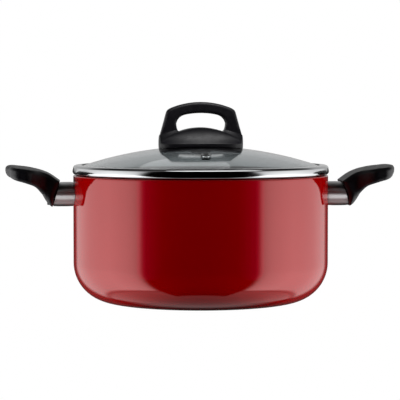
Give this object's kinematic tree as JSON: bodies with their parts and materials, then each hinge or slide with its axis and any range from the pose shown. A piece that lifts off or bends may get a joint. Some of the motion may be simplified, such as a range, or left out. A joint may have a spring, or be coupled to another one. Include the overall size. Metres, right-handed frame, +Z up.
{
  "type": "two-handled stock pot with glass lid",
  "caption": "Low two-handled casserole-style stock pot with a red enamelled body, steel-rimmed domed glass lid, loop knob and side grips on steel ferrules.",
  "frame": {"origin": "middle of the flat base, on the surface that the pot stands on", "axes": "+Z up along the pot's axis; X runs through the two side grips; -Y is the front, the side of the lid's steam vent"},
  "size_m": [0.378, 0.2476, 0.1927],
  "materials": {
    "red_enamel": "glossy deep red enamel on aluminium",
    "nonstick_coating": "dark satin non-stick coating with fine fleck",
    "bare_aluminium": "bare turned aluminium",
    "base_steel": "satin stainless steel",
    "ferrule_steel": "satin polished stainless steel",
    "polished_steel": "bright polished stainless steel",
    "zinc_steel": "zinc-plated steel",
    "insert_brass": "turned brass",
    "black_bakelite": "satin black phenolic moulding",
    "grey_silicone": "matte dark grey silicone",
    "lid_glass": "clear tempered glass with a faint grey-green tint"
  },
  "bodies": {
    "pot": {"pot_body": "red_enamel", "base_disc": "base_steel", "right_weld_stud": "bare_aluminium", "right_ferrule": "ferrule_steel", "right_grip": "black_bakelite", "right_screw_washer": "zinc_steel", "right_handle_screw": "zinc_steel", "left_weld_stud": "bare_aluminium", "left_ferrule": "ferrule_steel", "left_grip": "black_bakelite", "left_screw_washer": "zinc_steel", "left_handle_screw": "zinc_steel"},
    "lid": {"glass_lid": "lid_glass", "lid_rim": "polished_steel", "vent_eyelet": "polished_steel", "vent_washer": "zinc_steel", "lid_knob": "black_bakelite", "knob_insert": "insert_brass", "knob_seal": "grey_silicone", "lid_gasket": "grey_silicone", "lid_washer": "zinc_steel", "lid_screw": "zinc_steel"}
  },
  "joints": [
    {"name": "lid_lift", "type": "slide", "parent": "pot", "child": "lid", "axis": [0, 0, 1], "range_m": [0, 0.15]}
  ]
}
